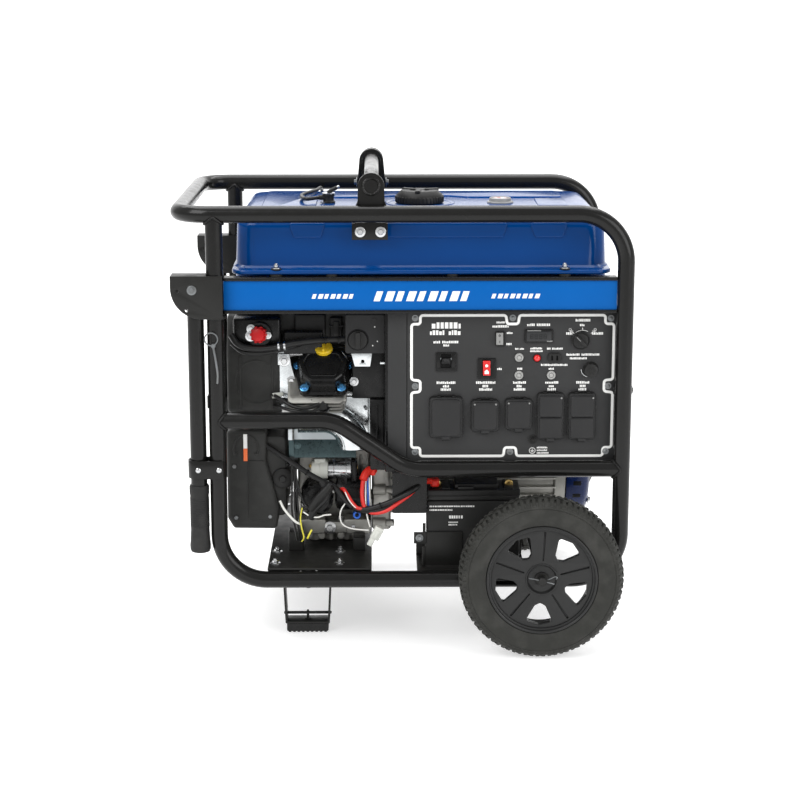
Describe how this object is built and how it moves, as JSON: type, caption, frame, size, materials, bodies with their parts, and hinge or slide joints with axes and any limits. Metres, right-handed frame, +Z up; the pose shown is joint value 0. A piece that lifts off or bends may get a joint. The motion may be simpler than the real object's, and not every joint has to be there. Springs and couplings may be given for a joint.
{
  "type": "portable generator",
  "caption": "Open-frame portable generator with V-twin engine, top tank, outlet panel, side wheels, feet and folding lift handles.",
  "frame": {"origin": "on the floor, under the middle of the frame's length and width", "axes": "+X towards the generator's alternator end (the user's right), +Y away from the user's side with the panel, +Z up"},
  "size_m": [0.866, 0.774, 0.93],
  "materials": {
    "frame": "gloss black powder coat",
    "beam": "satin blue powder coat",
    "tank": "gloss deep blue paint",
    "panel": "satin dark grey powder coat",
    "plastic": "fine-grained black moulding",
    "plastic_red": "red moulding",
    "plastic_grey": "grey moulding",
    "rubber": "matt black rubber",
    "tyre": "dry black tyre rubber",
    "wheel": "satin black moulding",
    "casting": "as-cast, lightly brushed on machined faces",
    "steel": "zinc-plated steel",
    "battery": "smooth black case"
  },
  "bodies": {
    "generator": {"frame_top_loop": "frame", "frame_side_front": "frame", "frame_side_rear": "frame", "frame_mid_rail_front": "frame", "frame_mid_rail_rear": "frame", "frame_cross_left": "frame", "frame_cross_right": "frame", "engine_cradle": "frame", "alternator_cradle": "frame", "lift_bar": "frame", "lift_eye": "frame", "handle_bracket_front": "frame", "handle_bracket_rear": "frame", "foot_bracket_front": "frame", "foot_bracket_rear": "frame", "control_box": "frame", "battery_tray": "frame", "front_beam": "beam", "rear_beam": "beam", "fuel_tank": "tank", "alternator_end_cover": "tank", "control_panel": "panel", "fuel_dial_housing": "plastic", "blower_housing": "plastic", "air_cleaner": "plastic", "oil_filter": "plastic", "foot_pad_front": "rubber", "foot_pad_rear": "rubber", "fuel_hose": "rubber", "crankcase": "casting", "cylinder_front": "casting", "cylinder_rear": "casting", "alternator_housing": "casting", "axle": "steel", "starter_motor": "steel", "muffler": "steel", "battery": "battery"},
    "handle_front": {"handle_arm_front": "frame", "handle_grip_front": "rubber"},
    "handle_rear": {"handle_arm_rear": "frame", "handle_grip_rear": "rubber"},
    "wheel_front": {"wheel_rim_front": "wheel", "tyre_front": "tyre"},
    "wheel_rear": {"wheel_rim_rear": "wheel", "tyre_rear": "tyre"},
    "filler_cap": {"fuel_cap": "plastic"},
    "switch_knob": {"engine_switch_knob": "plastic"},
    "dial_knob": {"fuel_dial_knob": "plastic"},
    "breaker_lever": {"main_breaker_toggle": "plastic"},
    "breaker_switch": {"breaker_rocker": "plastic_red"},
    "fuel_switch": {"fuel_switch_rocker": "plastic_grey"},
    "button_dc": {"reset_button_dc": "plastic"},
    "button_30a": {"reset_button_30a": "plastic"},
    "button_20a": {"reset_button_20a": "plastic"},
    "lid_50a": {"outlet_lid_50a": "plastic"},
    "lid_30a_twist": {"outlet_lid_30a_twist": "plastic"},
    "lid_30a_single": {"outlet_lid_30a_single": "plastic"},
    "lid_duplex_left": {"outlet_lid_duplex_left": "plastic"},
    "lid_duplex_right": {"outlet_lid_duplex_right": "plastic"},
    "rotor": {"rotor_shaft": "steel"}
  },
  "joints": [
    {"name": "handle_front_fold", "type": "hinge", "parent": "generator", "child": "handle_front", "pos_m": [-0.389, -0.285, 0.696], "axis": [0, 1, 0], "range_deg": [0, 90]},
    {"name": "handle_rear_fold", "type": "hinge", "parent": "generator", "child": "handle_rear", "pos_m": [-0.389, 0.285, 0.696], "axis": [0, 1, 0], "range_deg": [0, 90]},
    {"name": "wheel_front_spin", "type": "hinge", "parent": "generator", "child": "wheel_front", "pos_m": [0.262, -0.345, 0.1555], "axis": [0, 1, 0], "continuous": true},
    {"name": "wheel_rear_spin", "type": "hinge", "parent": "generator", "child": "wheel_rear", "pos_m": [0.262, 0.345, 0.1555], "axis": [0, 1, 0], "continuous": true},
    {"name": "filler_cap_turn", "type": "hinge", "parent": "generator", "child": "filler_cap", "pos_m": [0.0385, 0, 0.848], "axis": [0, 0, 1], "range_deg": [0, 90]},
    {"name": "engine_switch_turn", "type": "hinge", "parent": "generator", "child": "switch_knob", "pos_m": [0.336, -0.2686, 0.594], "axis": [0, 1, 0], "range_deg": [0, 90]},
    {"name": "fuel_dial_turn", "type": "hinge", "parent": "generator", "child": "dial_knob", "pos_m": [-0.083, -0.2406, 0.59], "axis": [0, 1, 0], "range_deg": [0, 90]},
    {"name": "main_breaker_tip", "type": "hinge", "parent": "generator", "child": "breaker_lever", "pos_m": [0.083, -0.2745, 0.555], "axis": [1, 0, 0], "range_deg": [0, 40]},
    {"name": "breaker_rocker_tip", "type": "hinge", "parent": "generator", "child": "breaker_switch", "pos_m": [0.1595, -0.2752, 0.542], "axis": [1, 0, 0], "range_deg": [0, 16]},
    {"name": "fuel_switch_tip", "type": "hinge", "parent": "generator", "child": "fuel_switch", "pos_m": [0.1835, -0.2748, 0.598], "axis": [1, 0, 0], "range_deg": [0, 16]},
    {"name": "button_dc_push", "type": "slide", "parent": "generator", "child": "button_dc", "axis": [0, 1, 0], "range_m": [0, 0.003], "stiffness_N_per_m": 200, "springref_m": -0.002},
    {"name": "button_30a_push", "type": "slide", "parent": "generator", "child": "button_30a", "axis": [0, 1, 0], "range_m": [0, 0.003], "stiffness_N_per_m": 200, "springref_m": -0.002},
    {"name": "button_20a_push", "type": "slide", "parent": "generator", "child": "button_20a", "axis": [0, 1, 0], "range_m": [0, 0.003], "stiffness_N_per_m": 200, "springref_m": -0.002},
    {"name": "lid_50a_swing", "type": "hinge", "parent": "generator", "child": "lid_50a", "pos_m": [0.0835, -0.275, 0.482], "axis": [-1, 0, 0], "range_deg": [0, 100]},
    {"name": "lid_30a_twist_swing", "type": "hinge", "parent": "generator", "child": "lid_30a_twist", "pos_m": [0.1575, -0.275, 0.476], "axis": [-1, 0, 0], "range_deg": [0, 100]},
    {"name": "lid_30a_single_swing", "type": "hinge", "parent": "generator", "child": "lid_30a_single", "pos_m": [0.221, -0.275, 0.478], "axis": [-1, 0, 0], "range_deg": [0, 100]},
    {"name": "lid_duplex_left_swing", "type": "hinge", "parent": "generator", "child": "lid_duplex_left", "pos_m": [0.2815, -0.275, 0.489], "axis": [-1, 0, 0], "range_deg": [0, 100]},
    {"name": "lid_duplex_right_swing", "type": "hinge", "parent": "generator", "child": "lid_duplex_right", "pos_m": [0.341, -0.275, 0.489], "axis": [-1, 0, 0], "range_deg": [0, 100]},
    {"name": "crankshaft_spin", "type": "hinge", "parent": "generator", "child": "rotor", "pos_m": [0, 0, 0.305], "axis": [1, 0, 0], "continuous": true}
  ]
}
